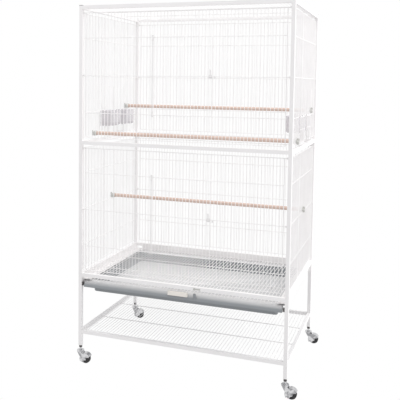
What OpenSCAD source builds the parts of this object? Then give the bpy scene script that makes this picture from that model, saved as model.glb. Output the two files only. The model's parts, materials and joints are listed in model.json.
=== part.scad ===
// Canary breeding cage: two-section wire flight cage on a wheeled stand with a wire shelf.
// Millimetres, Z up, front of the cage towards -Y, floor under the wheels at Z = 0.

/* [Frame] */
// Distance between the post centres, left to right
frame_width = 774.3; // [700:0.1:860]
// Distance between the post centres, front to back
frame_depth = 506.3; // [450:0.1:560]
// Outside size of the square tube
tube = 12.7; // [10:0.1:16]
// Wall of the square tube
tube_wall = 1; // [0.8:0.1:1.6]
// Height of the centre of the shelf rails above the foot of the posts
shelf_rise = 52; // [40:0.5:110]
// Height of the lower edge of the base rails above the foot of the posts
base_rise = 262.6; // [220:0.1:300]
// Height of a wire panel, from the rail centre above it to its last cross wire
panel_drop = 475; // [420:0.5:520]
// Gap between the last cross wire and the rail below it
panel_gap = 12.7; // [8:0.1:20]
// Height of the top cap above the post
cap_h = 1.6; // [1:0.1:4]
// Length of the plugs pushed into the tubes
plug_len = 12; // [8:0.5:20]

/* [Wire panels] */
// Number of wire spaces across the front
front_spaces = 60; // [56:1:64]
// Number of wire spaces from front to back
side_spaces = 39; // [37:1:41]
// Thickness of every wire panel
panel_t = 2.2; // [1.8:0.1:3]
// Width of an upright wire
wire = 2; // [1.6:0.1:2.6]
// Width of a cross wire
row_wire = 2.8; // [2:0.1:3.4]
// Width of the two outer uprights of a panel
edge_wire = 3.4; // [2.4:0.1:4.4]
// First cross wire below the rail centre
row_1 = 20; // [16:0.5:24]
// Second cross wire below the rail centre, top of the door opening
row_2 = 111; // [105:0.5:116]
// Distance between the last two cross wires, the height of the feeder openings
feeder_rows = 91; // [80:0.5:110]
// Distance from the front and rear rails to the outer cross wires of the roof
roof_edge = 13; // [9:0.5:18]
// Distance from the front and rear rails to the inner cross wires of the roof
roof_row = 168; // [120:1:200]
// Upright that is thicker in the side panels
stiff_wire_index = 14; // [13:1:15]
// Size of a panel clip across the wire
clip_size = 6; // [5:0.1:7]
// Length of a panel clip along the wire
clip_len = 5; // [3:0.1:6]

/* [Front doors] */
// Width of the door opening in wire spaces
door_spaces = 17; // [14:1:20]
// Width of the bar around the door leaf
door_bar = 3; // [2.4:0.1:3.6]
// Gap between the door leaf and the panel behind it
door_gap = 0.4; // [0.3:0.05:0.8]
// Radius of the hinge rod
hinge_rod_r = 1.25; // [1:0.05:1.6]
// Running clearance of the knuckles on the rod
hinge_play = 0.05; // [0.02:0.01:0.1]
// Outside radius of a knuckle
knuckle_r = 2.6; // [2.4:0.1:2.8]
// Length of a knuckle
knuckle_len = 10; // [7:0.5:14]
// Distance from the edge of the door leaf to the hinge axis
hinge_offset = 3; // [2.8:0.1:3.4]
// Radius of the latch pivot pin
latch_pin_r = 1.5; // [1.2:0.1:2]
// Length of the latch arm from its pivot
latch_arm = 23; // [22:0.5:24]
// Height of the latch arm
latch_h = 4; // [3:0.1:5]
// Thickness of the latch
latch_t = 2.5; // [2:0.1:2.8]

/* [Feeder doors and cups] */
// Wire space where the front feeder opening starts
feeder_a = 11; // [10:1:11]
// Wire space where the rear feeder opening starts
feeder_b = 22; // [21:1:22]
// Width of a feeder opening in wire spaces
feeder_spaces = 7; // [7:1:7]
// Distance from the side panel to the feeder door
feeder_gap = 2.8; // [2.6:0.1:3.4]
// Upward travel that the guides leave for a feeder door
feeder_travel = 80; // [60:1:90]
// Depth of a cup towards the inside of the cage
cup_depth = 48; // [40:0.5:60]
// Height of a cup
cup_height = 60; // [50:0.5:70]
// Side clearance of a cup in its opening
cup_side = 2.3; // [1.5:0.1:4]
// Wall of a cup
cup_wall = 1.6; // [1.2:0.1:2.4]

/* [Perches] */
// Radius of the perch dowels
perch_r = 7; // [5:0.1:8]
// Height of the upper rear perch above the fourth cross wire
perch_a_rise = 16; // [9:0.5:40]
// Height of the upper front perch above the last cross wire
perch_b_rise = 10; // [9:0.5:40]
// Height of the lower perch above the third cross wire
perch_c_rise = 11.5; // [9:0.5:40]
// Wire space of the upper rear perch
perch_a_space = 30; // [24:1:36]
// Wire space of the upper front perch
perch_b_space = 7; // [3:1:9]
// Wire space of the lower perch
perch_c_space = 20; // [10:1:30]
// Radius of the end caps
perch_cap_r = 9.5; // [9:0.1:10.5]
// Depth of the pocket in an end cap
perch_pocket = 8; // [5:0.5:12]
// Radius of the knob screw
perch_screw_r = 1.9; // [1.5:0.1:2.4]
// Distance that the wing knob stands out from the side panel
knob_out = 9.75; // [8:0.05:12]

/* [Tray and grille] */
// Gap between the tray and the post on each side
tray_side_gap = 8.8; // [8:0.1:12]
// Distance from the lower edge of the base rails down to the tray flange
tray_drop = 16.6; // [16:0.1:22]
// Depth of the tray from the flange to the underside
tray_depth = 45; // [38:0.5:60]
// Sheet thickness of the tray
tray_t = 1.5; // [1:0.1:2]
// Distance from the front edge to the foot of the pan
tray_front_inset = 36; // [34:0.5:60]
// Distance from the other edges to the foot of the pan
tray_inset = 22; // [14:0.5:30]
// Lean of the pan walls over the depth of the tray
tray_draft = 1.5; // [1:0.5:4]
// Radius of the rolled front edge
tray_lip_r = 21; // [16:0.5:22]
// Width of the tray pull
pull_width = 73; // [60:0.5:85]
// Height of the tray pull
pull_height = 14; // [10:0.5:14]
// Distance that the pull stands in front of the tray
pull_t = 2.5; // [2:0.1:3]
// Gap between the grille and the post on each side
grille_side_gap = 18.8; // [18:0.1:22]
// Height of the grille above the tray flange
grille_rise = 6.8; // [6.2:0.1:7.4]
// Number of wire spaces in the grille
grille_spaces = 57; // [55:1:59]
// Distance from the ends of the grille to its inner cross bars
grille_row = 165; // [120:1:200]
// Thickness of the grille
grille_t = 3; // [2.4:0.1:3.2]
// Gap under the sliding parts on their ledges
slide_gap = 0.4; // [0.3:0.05:0.6]
// Sheet thickness of the runners
runner_t = 1.2; // [1:0.1:1.6]
// Radius of the catch knob
catch_r = 4; // [3.6:0.1:6]

/* [Casters] */
// Radius of a wheel over the tyre
wheel_r = 18.5; // [17:0.5:22]
// Radius of the hub under the tyre
hub_r = 12.5; // [10:0.5:14]
// Width of a wheel
wheel_w = 14; // [12:0.5:16]
// Radius of the axle
axle_r = 3; // [2.5:0.1:3.5]
// Running clearance of the hub and of the fork
caster_play = 0.05; // [0.02:0.01:0.1]
// Distance that the wheel trails behind the stem
caster_trail = 22; // [18:0.5:28]
// Thickness of the fork cheeks
fork_t = 2.5; // [2:0.1:3]
// Radius of the swivel disc
disc_r = 13.5; // [11:0.1:15]
// Thickness of the swivel disc
disc_t = 4; // [3:0.1:6]
// Height of the swivel disc above the hood
disc_rise = 4; // [2:0.5:6]
// Clear distance between the wheel and its hood
hood_gap = 1.2; // [1:0.1:1.4]
// Free length of the stem between the disc and the post socket
neck_len = 10; // [8:0.5:20]
// Height of the socket boss under the post
boss_h = 9; // [6:0.5:12]
// Radius of the caster stem
stem_r = 3; // [2.5:0.1:4]
// Length of the stem inside the foot socket
stem_len = 22; // [15:0.5:24]

/* [Hidden] */
post_x = frame_width / 2;
post_y = frame_depth / 2;
half = tube / 2;
in_x = post_x - half;
in_y = post_y - half;
px = 2 * in_x / front_spaces;
py = 2 * in_y / side_spaces;
row_5 = panel_drop;
row_4 = row_5 - feeder_rows;
row_3 = (row_2 + row_4) / 2;
rows = [row_1, row_2, row_3, row_4, row_5];
hood_t = 1.8;
hood_right = 28;
hood_left = 35;
hood_r = wheel_r + hood_gap + hood_t;
disc_low_z = wheel_r + hood_r + disc_rise;
disc_top_z = disc_low_z + disc_t;
post_bottom_z = disc_top_z + neck_len + boss_h;
shelf_rail_z = post_bottom_z + shelf_rise;
base_rail_z = post_bottom_z + base_rise;
base_top_z = base_rail_z + tube;
mid_rail_z = base_top_z + panel_gap + panel_drop;
top_rail_z = mid_rail_z + half + panel_gap + panel_drop;
post_top_z = top_rail_z + half;
face = panel_t / 2;
wall_out = post_x + face;
wall_in = post_x - face;
front_face = -post_y - face;
eps = 1;
small = 0.5;
fork_half = wheel_w / 2 + 1 + fork_t;
axle_head = 2;
caster_side = fork_half + axle_head;
reach_right = post_x + caster_trail + max(wheel_r, hood_r * cos(hood_right));
reach_left = max(wall_out + knob_out, post_x + disc_r);
shift_x = (reach_left - reach_right) / 2;

// door leaf
leaf_front = front_face - door_gap - panel_t;
leaf_back = front_face - door_gap;
leaf_mid = (leaf_front + leaf_back) / 2;
door_first = ceil((front_spaces - door_spaces) / 2);
door_last = door_first + door_spaces;
door_x0 = -in_x + door_first * px;
door_x1 = -in_x + door_last * px;
hinge_x = door_x0 - door_bar / 2 - hinge_offset;
latch_x = door_x1 - 6;
latch_back = leaf_front - 0.55;
latch_front = latch_back - latch_t;
pin_head_t = 1;
keeper_x0 = door_x1 + 8;
keeper_x1 = door_x1 + px + 0.6;

// feeder doors
feeder_in = wall_out + feeder_gap;
feeder_out = feeder_in + panel_t;
feeder_low = top_rail_z - row_5 + row_wire / 2 + 0.1;
feeder_high = top_rail_z - row_4 + 0.5;
feeder_bar = 2.4;
guide_t = 2;
guide_lip = 1.2;
guide_top = feeder_high + feeder_travel + 15;

// tray, grille and runners
plane_front = -post_y - half;
tray_half = in_x - tray_side_gap;
tray_top_z = base_rail_z - tray_drop;
tray_bottom_z = tray_top_z - tray_depth;
tray_rear = in_y - 4;
lip_y = plane_front + tray_lip_r;
lip_z = tray_top_z - tray_lip_r;
ledge_1 = tray_top_z - tray_t - slide_gap;
tray_ledge_in = tray_half - 10;
runner_low = tray_top_z - 14;
grille_z = tray_top_z + grille_rise;
ledge_2 = grille_z - slide_gap;
grille_width = 2 * (in_x - grille_side_gap);
grille_ledge_in = grille_width / 2 - 10;
grille_front = -post_y - 3;
grille_rear = in_y - 6;
grille_bar = 4;
gp = (grille_width - grille_bar) / grille_spaces;
grille_x0 = -grille_width / 2 + grille_bar / 2;
catch_space = 33;
catch_x = grille_x0 + (catch_space + 0.5) * gp;
catch_back = plane_front - 0.5;
catch_t = 2;
bumper_t = 6;
strip_end = 30;
pull_drop = 9.5;
catch_z = base_rail_z + half;
catch_arm = catch_z - tray_top_z - 1.5;
tab_top = grille_z - 0.6;
tab_half = 5;

// perch positions in the middle of a wire space
perch_a_y = -in_y + (perch_a_space + 0.5) * py;
perch_b_y = -in_y + (perch_b_space + 0.5) * py;
perch_c_y = -in_y + (perch_c_space + 0.5) * py;
perch_a_z = top_rail_z - row_4 + perch_a_rise;
perch_b_z = top_rail_z - row_5 + perch_b_rise;
perch_c_z = mid_rail_z - row_3 + perch_c_rise;
cap_base = 3;

// casters
axle_z = wheel_r;
cheek_r = wheel_r - 1;
boss_r = stem_r + 2.8;
collar_r = stem_r + 1.5;
collar_h = 2;
rivet_r = stem_r + 2.5;
rivet_h = 2.6;
swivel_gap = 0.4;

powder = [0.93, 0.92, 0.92];
dark = [0.2, 0.2, 0.21];
wood = [0.66, 0.42, 0.28];
steel = [0.7, 0.71, 0.73];
grey = [0.62, 0.62, 0.62];
smoke = [0.5, 0.47, 0.53];
rubber = [0.08, 0.08, 0.08];
beige = [0.86, 0.78, 0.68];

// Half width of upright k in a panel of n spaces with a thicker upright s
function half_w(k, n, s) = (k == 1 || k == n - 1) ? edge_wire / 2 : (k == s ? edge_wire / 2 : wire / 2);

module box(lo, hi) {
  translate(lo)
    cube(hi - lo);
}

// Flat wire panel. r: cross wires below the rail centre. ext: the two cross wires that reach the posts.
// gaps: list of [first space, last space, first row, last row] left open.
module lattice(n, p, r, ext, s, gaps) {
  m = len(r) - 1;
  h = row_wire / 2;
  difference() {
    translate([-n * p / 2, -r[m] - h])
      square([n * p, r[m] - r[0] + row_wire]);
    for (k = [1 : n - 2], i = [0 : m - 1])
      if (len([for (g = gaps) if (k >= g[0] && k < g[1] && i >= g[2] && i < g[3]) 1]) == 0)
        translate([-n * p / 2 + k * p + half_w(k, n, s), -r[i + 1] + h])
          square([p - half_w(k, n, s) - half_w(k + 1, n, s), r[i + 1] - r[i] - row_wire]);
    for (g = gaps)
      translate([-n * p / 2 + g[0] * p + wire / 2, -r[g[3]] + h])
        square([(g[1] - g[0]) * p - wire, r[g[3]] - r[g[2]] - row_wire]);
    for (a = [0 : 1])
      mirror([a, 0]) {
        translate([-n * p / 2 - eps, -r[ext[1]] + h])
          square([p - edge_wire / 2 + eps, r[ext[1]] - r[ext[0]] - row_wire]);
        if (ext[1] < m)
          translate([-n * p / 2 - eps, -r[m] - h - eps])
            square([p - edge_wire / 2 + eps, r[m] - r[ext[1]] + eps]);
      }
  }
}

module square_tube_x(len_x) {
  difference() {
    translate([-len_x / 2, -half, -half])
      cube([len_x, tube, tube]);
    translate([-len_x / 2 - eps, -half + tube_wall, -half + tube_wall])
      cube([len_x + 2 * eps, tube - 2 * tube_wall, tube - 2 * tube_wall]);
  }
}

// Four rails of one level, butted between the posts
module rail_ring(z) {
  for (s = [-1, 1])
    translate([0, s * post_y, z])
      square_tube_x(2 * in_x);
  for (s = [-1, 1])
    translate([s * post_x, 0, z])
      rotate([0, 0, 90])
        square_tube_x(2 * in_y);
}

module post(sx, sy) {
  translate([shift_x + sx * post_x, sy * post_y, post_bottom_z])
    difference() {
      translate([-half, -half, 0])
        cube([tube, tube, post_top_z - post_bottom_z]);
      translate([-half + tube_wall, -half + tube_wall, -eps])
        cube([tube - 2 * tube_wall, tube - 2 * tube_wall, post_top_z - post_bottom_z + 2 * eps]);
    }
}

module post_front_left() {
  color(powder)
    post(-1, -1);
}

module post_front_right() {
  color(powder)
    post(1, -1);
}

module post_rear_left() {
  color(powder)
    post(-1, 1);
}

module post_rear_right() {
  color(powder)
    post(1, 1);
}

module top_frame_rails() {
  color(powder)
    translate([shift_x, 0, 0])
      rail_ring(top_rail_z);
}

module mid_frame_rails() {
  color(powder)
    translate([shift_x, 0, 0])
      rail_ring(mid_rail_z);
}

module base_frame_rails() {
  color(powder)
    translate([shift_x, 0, 0])
      rail_ring(base_rail_z + half);
}

module shelf_frame_rails() {
  color(powder)
    translate([shift_x, 0, 0])
      rail_ring(shelf_rail_z);
}

// Cap plugs at the top of the posts, stem sockets at the foot and the two bumpers beside the tray
module plugs_and_bumpers() {
  bore = tube - 2 * tube_wall;
  color(dark) {
    for (sx = [-1, 1], sy = [-1, 1])
      at_caster(sx, sy) {
        translate([-half, -half, post_top_z])
          cube([tube, tube, cap_h]);
        translate([-bore / 2, -bore / 2, post_top_z - plug_len])
          cube([bore, bore, plug_len + small]);
        difference() {
          union() {
            translate([0, 0, post_bottom_z - boss_h])
              cylinder(h = boss_h + small, r = boss_r, $fn = 48);
            translate([-bore / 2, -bore / 2, post_bottom_z])
              cube([bore, bore, stem_len + 3]);
          }
          translate([0, 0, post_bottom_z - boss_h - eps])
            cylinder(h = boss_h + stem_len + eps, r = stem_r, $fn = 48);
        }
      }
    translate([shift_x, 0, 0])
      for (a = [0 : 1])
        mirror([a, 0, 0])
          box([in_x - bumper_t, -post_y - 4, tray_top_z - 17.5], [in_x, -post_y + 4, tray_top_z - 5]);
  }
}

module front_plane(z) {
  translate([shift_x, -post_y + face, z])
    rotate([90, 0, 0])
      linear_extrude(height = panel_t)
        lattice(front_spaces, px, rows, [0, 2], 0, [[door_first, door_last, 1, 3]]);
}

module rear_plane(z) {
  translate([shift_x, post_y + face, z])
    rotate([90, 0, 0])
      linear_extrude(height = panel_t)
        lattice(front_spaces, px, rows, [0, 2], 0, []);
}

module side_plane(s, z, gaps) {
  translate([shift_x + s * post_x - face, 0, z])
    rotate([90, 0, 90])
      linear_extrude(height = panel_t)
        lattice(side_spaces, py, rows, [0, 2], stiff_wire_index, gaps);
}

// Two guides of one feeder door on the outside of the right-hand panel
module guide_pair(first) {
  y0 = -in_y + first * py - feeder_bar / 2;
  y1 = -in_y + (first + feeder_spaces) * py + feeder_bar / 2;
  for (e = [[y0, -1], [y1, 1]])
    translate([0, e[0], 0])
      mirror([0, e[1] < 0 ? 1 : 0, 0]) {
        box([wall_out, small, feeder_low - 3.5], [feeder_out + 0.4 + guide_lip, small + guide_t, guide_top]);
        box([feeder_out + 0.4, -2, feeder_low - 3.5], [feeder_out + 0.4 + guide_lip, small + 0.2, guide_top]);
        box([wall_out + 1, -3, feeder_low - 3.5], [feeder_out + 0.4 + small, small + 0.2, feeder_low - 0.4]);
      }
}

// The eight guides of the four feeder doors
module feeder_guides() {
  color(powder)
    translate([shift_x, 0, 0])
      for (a = [0 : 1], f = [feeder_a, feeder_b])
        mirror([a, 0, 0])
          guide_pair(f);
}

feeder_gaps = [[feeder_a, feeder_a + feeder_spaces, 3, 4], [feeder_b, feeder_b + feeder_spaces, 3, 4]];

module front_upper_panel() {
  color(powder)
    front_plane(top_rail_z);
}

module front_lower_panel() {
  color(powder)
    front_plane(mid_rail_z);
}

module rear_upper_panel() {
  color(powder)
    rear_plane(top_rail_z);
}

module rear_lower_panel() {
  color(powder)
    rear_plane(mid_rail_z);
}

module left_upper_panel() {
  color(powder)
    side_plane(-1, top_rail_z, feeder_gaps);
}

module left_lower_panel() {
  color(powder)
    side_plane(-1, mid_rail_z, []);
}

module right_upper_panel() {
  color(powder)
    side_plane(1, top_rail_z, feeder_gaps);
}

module right_lower_panel() {
  color(powder)
    side_plane(1, mid_rail_z, []);
}

module top_panel() {
  top_rows = [half + roof_edge, half + roof_row,
    frame_depth - half - roof_row, frame_depth - half - roof_edge];
  color(powder)
    translate([shift_x, post_y, top_rail_z - face])
      linear_extrude(height = panel_t)
        lattice(front_spaces, px, top_rows, [0, 3], 0, []);
}

module shelf_grid() {
  third = in_y / 3;
  cuts = [[-in_y - eps, -third - wire / 2], [-third + wire / 2, third - wire / 2],
    [third + wire / 2, in_y + eps]];
  color(powder)
    translate([shift_x, 0, shelf_rail_z - face])
      linear_extrude(height = panel_t)
        difference() {
          translate([-in_x, -in_y])
            square([2 * in_x, 2 * in_y]);
          for (k = [1 : front_spaces - 2], c = cuts)
            translate([-in_x + k * px + wire / 2, c[0]])
              square([px - wire, c[1] - c[0]]);
          for (a = [0 : 1], c = cuts)
            mirror([a, 0])
              translate([-in_x - eps, c[0]])
                square([px - wire / 2 + eps, c[1] - c[0]]);
        }
}

// Sheet runners left and right with a ledge for the tray and one for the grille, and the rear strip
module tray_runners() {
  color(powder)
    translate([shift_x, 0, 0]) {
      for (a = [0 : 1])
        mirror([a, 0, 0]) {
          box([in_x - runner_t, -in_y, runner_low], [in_x, in_y, base_top_z]);
          box([tray_ledge_in, lip_y + 1, ledge_1 - runner_t], [in_x - runner_t / 2, in_y, ledge_1]);
          box([grille_ledge_in, -in_y, ledge_2 - runner_t], [in_x - runner_t / 2, in_y, ledge_2]);
        }
      box([-in_x + strip_end, in_y - runner_t, runner_low], [in_x - strip_end, in_y, base_top_z]);
    }
}

module clip(w) {
  difference() {
    translate([0, -clip_size / 2, -clip_size / 2])
      cube([clip_len, clip_size, clip_size]);
    translate([-eps, -panel_t / 2, -w / 2])
      cube([clip_len + 2 * eps, panel_t, w]);
  }
}

// Staple that a door latch turns into
module keeper(z) {
  top = z - latch_h / 2 - 0.4;
  low = top - 4;
  box([keeper_x0, latch_front - 2.2, low], [keeper_x1, front_face, top]);
  box([keeper_x0, latch_front - 2.2, low], [keeper_x1, latch_front - 0.8, z + 2]);
}

// Clips on the ends of the cross wires that reach the posts
module panel_clips() {
  color(powder)
    translate([shift_x, 0, 0])
      for (z = [top_rail_z, mid_rail_z], r = [row_1, row_3]) {
        for (sx = [0, 1], sy = [-1, 1])
          mirror([sx, 0, 0])
            translate([in_x - clip_len, sy * post_y, z - r])
              clip(row_wire);
        for (sx = [-1, 1], sy = [0, 1])
          mirror([0, sy, 0])
            translate([sx * post_x, in_y - clip_len, z - r])
              rotate([0, 0, 90])
                clip(row_wire);
      }
}

// One hinge rod with a lug at each end, held on the jamb wire of the panel
module hinge_rod(z) {
  lo = z - row_4 - row_wire / 2 - 6;
  hi = z - row_2 + row_wire / 2 + 6;
  translate([hinge_x, leaf_mid, lo])
    cylinder(h = hi - lo, r = hinge_rod_r, $fn = 32);
  for (q = [lo, hi - 4])
    box([hinge_x - 2.6, leaf_mid - 2.2, q], [door_x0 + wire / 2, front_face, q + 4]);
}

// Hinge rods and latch keepers of the two front doors
module front_door_fittings() {
  color(powder)
    translate([shift_x, 0, 0]) {
      hinge_rod(top_rail_z);
      hinge_rod(mid_rail_z);
      keeper(top_rail_z - row_3);
      keeper(mid_rail_z - row_3);
    }
}

// Door leaf in front of the opening, with knuckles on the left and the latch pin on the right
module door(z) {
  n = door_last - door_first;
  b = door_bar / 2;
  top = z - row_2;
  low = z - row_4;
  mid = z - row_3;
  translate([shift_x, 0, 0])
    difference() {
      union() {
        translate([0, leaf_back, 0])
          rotate([90, 0, 0])
            linear_extrude(height = panel_t)
              difference() {
                translate([door_x0 - b, low - b])
                  square([n * px + door_bar, top - low + door_bar]);
                for (k = [0 : n - 1], c = [[low + b, mid - wire / 2], [mid + wire / 2, top - b]])
                  translate([door_x0 + k * px + (k == 0 ? b : wire / 2), c[0]])
                    square([px - (k == 0 ? b : wire / 2) - (k == n - 1 ? b : wire / 2), c[1] - c[0]]);
              }
        for (q = [low + 4, top - 4 - knuckle_len]) {
          translate([hinge_x, leaf_mid, q])
            cylinder(h = knuckle_len, r = knuckle_r, $fn = 32);
          box([hinge_x, leaf_front, q], [door_x0, leaf_back, q + knuckle_len]);
        }
        box([latch_x - 6, leaf_front, mid - 6], [door_x1, leaf_back, mid + 6]);
        translate([latch_x, leaf_back - small, mid])
          rotate([90, 0, 0])
            cylinder(h = leaf_back - small - latch_front + 0.4 + small, r = latch_pin_r, $fn = 32);
        translate([latch_x, latch_front - 0.4, mid])
          rotate([90, 0, 0])
            cylinder(h = pin_head_t, r = 3, $fn = 32);
      }
      for (q = [low + 4, top - 4 - knuckle_len])
        translate([hinge_x, leaf_mid, q - small])
          cylinder(h = knuckle_len + 2 * small, r = hinge_rod_r + hinge_play, $fn = 32);
    }
}

module upper_front_door() {
  color(powder)
    door(top_rail_z);
}

module lower_front_door() {
  color(powder)
    door(mid_rail_z);
}

// Turning latch, stored with its arm up and clear of the keeper
module latch(z) {
  translate([shift_x + latch_x, latch_back, z - row_3])
    rotate([90, 0, 0])
      difference() {
        union() {
          cylinder(h = latch_t, r = 5, $fn = 48);
          translate([-latch_h / 2, 0, 0])
            cube([latch_h, latch_arm, latch_t]);
          translate([0, latch_arm - 0.5, latch_t - small])
            cylinder(h = 3.5, r = 1.9, $fn = 32);
        }
        translate([0, 0, -eps])
          cylinder(h = latch_t + 2 * eps, r = latch_pin_r + hinge_play, $fn = 32);
      }
}

module upper_door_latch() {
  color(powder)
    latch(top_rail_z);
}

module lower_door_latch() {
  color(powder)
    latch(mid_rail_z);
}

module perch(y, z) {
  end = wall_in - cap_base;
  color(wood)
    translate([shift_x, y, z])
      rotate([0, 90, 0])
        difference() {
          translate([0, 0, -end])
            cylinder(h = 2 * end, r = perch_r, $fn = 64);
          for (a = [0 : 1])
            mirror([0, 0, a])
              translate([0, 0, end - 12])
                cylinder(h = 12 + eps, r = perch_screw_r, $fn = 32);
        }
}

module perch_upper_rear() {
  perch(perch_a_y, perch_a_z);
}

module perch_upper_front() {
  perch(perch_b_y, perch_b_z);
}

module perch_lower() {
  perch(perch_c_y, perch_c_z);
}

// End cap inside the wires and wing knob outside them, for the right-hand end of a perch
module perch_end() {
  end = wall_in - cap_base;
  difference() {
    translate([end - perch_pocket, 0, 0])
      rotate([0, 90, 0])
        cylinder(h = perch_pocket + cap_base, r = perch_cap_r, $fn = 64);
    translate([end - perch_pocket - eps, 0, 0])
      rotate([0, 90, 0])
        cylinder(h = perch_pocket + eps, r = perch_r, $fn = 64);
    translate([end - eps, 0, 0])
      rotate([0, 90, 0])
        cylinder(h = cap_base + 2 * eps, r = perch_screw_r + 0.2, $fn = 32);
  }
  translate([end - 12, 0, 0])
    rotate([0, 90, 0])
      cylinder(h = wall_out + 3 - end + 12, r = perch_screw_r, $fn = 32);
  translate([wall_out, 0, 0])
    rotate([0, 90, 0])
      cylinder(h = 2, r = 7, $fn = 48);
  translate([wall_out + 1, 0, 0])
    rotate([0, 90, 0])
      cylinder(h = knob_out - 2.5, r = 4, $fn = 48);
  box([wall_out + 1, -1.3, -11], [wall_out + knob_out, 1.3, 11]);
}

module perch_fittings() {
  color(dark)
    translate([shift_x, 0, 0])
      for (a = [0 : 1], q = [[perch_a_y, perch_a_z], [perch_b_y, perch_b_z], [perch_c_y, perch_c_z]])
        mirror([a, 0, 0])
          translate([0, q[0], q[1]])
            perch_end();
}

// Half width of the pan at height z, and its front and rear edge there
function pan_lean(z) = tray_draft * (z - tray_bottom_z) / tray_depth;
function pan_half(z) = tray_half - tray_inset + pan_lean(z);
function pan_front(z) = plane_front + tray_front_inset - pan_lean(z);
function pan_rear(z) = tray_rear - tray_inset + pan_lean(z);

// Block with the leaning walls of the pan between heights z0 and z1, smaller by t all round
module pan_block(z0, z1, t) {
  corners = [for (z = [z0, z1])
    each [[-pan_half(z) + t, pan_front(z) + t, z], [pan_half(z) - t, pan_front(z) + t, z],
      [pan_half(z) - t, pan_rear(z) - t, z], [-pan_half(z) + t, pan_rear(z) - t, z]]];
  polyhedron(points = corners, faces = [[0, 1, 2, 3], [7, 6, 5, 4], [0, 4, 5, 1], [1, 5, 6, 2],
    [2, 6, 7, 3], [3, 7, 4, 0]]);
}

// Quarter of a round bar along the front edge
module lip_bar(r, half_len) {
  translate([-half_len, lip_y, lip_z])
    rotate([90, 0, 90])
      linear_extrude(height = 2 * half_len)
        intersection() {
          circle(r = r, $fn = 96);
          translate([-r - eps, 0])
            square([r + eps, r + eps]);
        }
}

// Tray with leaning walls, a flange and a rolled front edge that carries the tab for the catch
module tray() {
  color(grey)
    translate([shift_x, 0, 0])
      difference() {
        union() {
          box([-tray_half, lip_y - small, tray_top_z - tray_t], [tray_half, tray_rear, tray_top_z]);
          difference() {
            lip_bar(tray_lip_r, tray_half);
            lip_bar(tray_lip_r - tray_t, tray_half - tray_t);
          }
          pan_block(tray_bottom_z, tray_top_z, 0);
          difference() {
            box([catch_x - tab_half, plane_front, lip_z + 2], [catch_x + tab_half, plane_front + 2, tab_top]);
            lip_bar(tray_lip_r - tray_t / 2, tray_half);
          }
        }
        pan_block(tray_bottom_z + tray_t, tray_top_z + eps, tray_t);
      }
}

// Pull seated on the rolled edge
module tray_handle() {
  pull_low = tray_top_z - pull_drop;
  color(beige)
    translate([shift_x, 0, 0])
      difference() {
        box([-pull_width / 2, plane_front - pull_t, pull_low],
          [pull_width / 2, plane_front + 6, pull_low + pull_height]);
        lip_bar(tray_lip_r, pull_width);
      }
}

// Half thickness of grille wire k, the two outer ones being the side bars
function grille_side(k) = (k == 0 || k == grille_spaces ? grille_bar : wire) / 2;

module grille() {
  b = 3;
  bars = [grille_front + 8, grille_front + grille_row, grille_rear - grille_row + b, grille_rear];
  fronts = [grille_front - eps, bars[0], bars[1], bars[2]];
  color(powder)
    translate([shift_x, 0, grille_z])
      linear_extrude(height = grille_t)
        difference() {
          translate([grille_x0 - grille_bar / 2, grille_front])
            square([grille_width, grille_rear - grille_front]);
          for (k = [0 : grille_spaces - 1], j = [0 : 3])
            translate([grille_x0 + k * gp + grille_side(k), fronts[j]])
              square([gp - grille_side(k) - grille_side(k + 1), bars[j] - b - fronts[j]]);
        }
}

// Turn button on the base rail; turned down, its arm stands in front of the tray tab
module tray_catch() {
  color(dark)
    translate([shift_x + catch_x, 0, catch_z]) {
      translate([0, catch_back, 0])
        rotate([90, 0, 0])
          cylinder(h = 4.6, r = catch_r, $fn = 48);
      box([0, catch_back - catch_t, -2], [catch_arm, catch_back, 2]);
      translate([0, catch_back + small, 0])
        rotate([90, 0, 0])
          cylinder(h = 1, r = 2.5, $fn = 32);
    }
}

// Feeder door on the outside of the right-hand panel
module feeder_door(first) {
  b = feeder_bar / 2;
  y0 = -in_y + first * py;
  h = feeder_high - feeder_low;
  cuts = [[feeder_bar, h / 2 - wire / 2], [h / 2 + wire / 2, h - feeder_bar]];
  ymid = y0 + feeder_spaces * py / 2;
  translate([feeder_in, 0, feeder_low])
    rotate([90, 0, 90])
      linear_extrude(height = panel_t)
        difference() {
          translate([y0 - b, 0])
            square([feeder_spaces * py + feeder_bar, h]);
          for (k = [0 : feeder_spaces - 1], c = cuts)
            translate([y0 + k * py + (k == 0 ? b : wire / 2), c[0]])
              square([py - (k == 0 ? b : wire / 2) - (k == feeder_spaces - 1 ? b : wire / 2), c[1] - c[0]]);
        }
  box([feeder_out - small, ymid - 8, feeder_low], [feeder_out + 4.5, ymid + 8, feeder_low + feeder_bar]);
}

module feeder_door_left_front() {
  color(powder)
    translate([shift_x, 0, 0])
      mirror([1, 0, 0])
        feeder_door(feeder_a);
}

module feeder_door_left_rear() {
  color(powder)
    translate([shift_x, 0, 0])
      mirror([1, 0, 0])
        feeder_door(feeder_b);
}

module feeder_door_right_front() {
  color(powder)
    translate([shift_x, 0, 0])
      feeder_door(feeder_a);
}

module feeder_door_right_rear() {
  color(powder)
    translate([shift_x, 0, 0])
      feeder_door(feeder_b);
}

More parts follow.
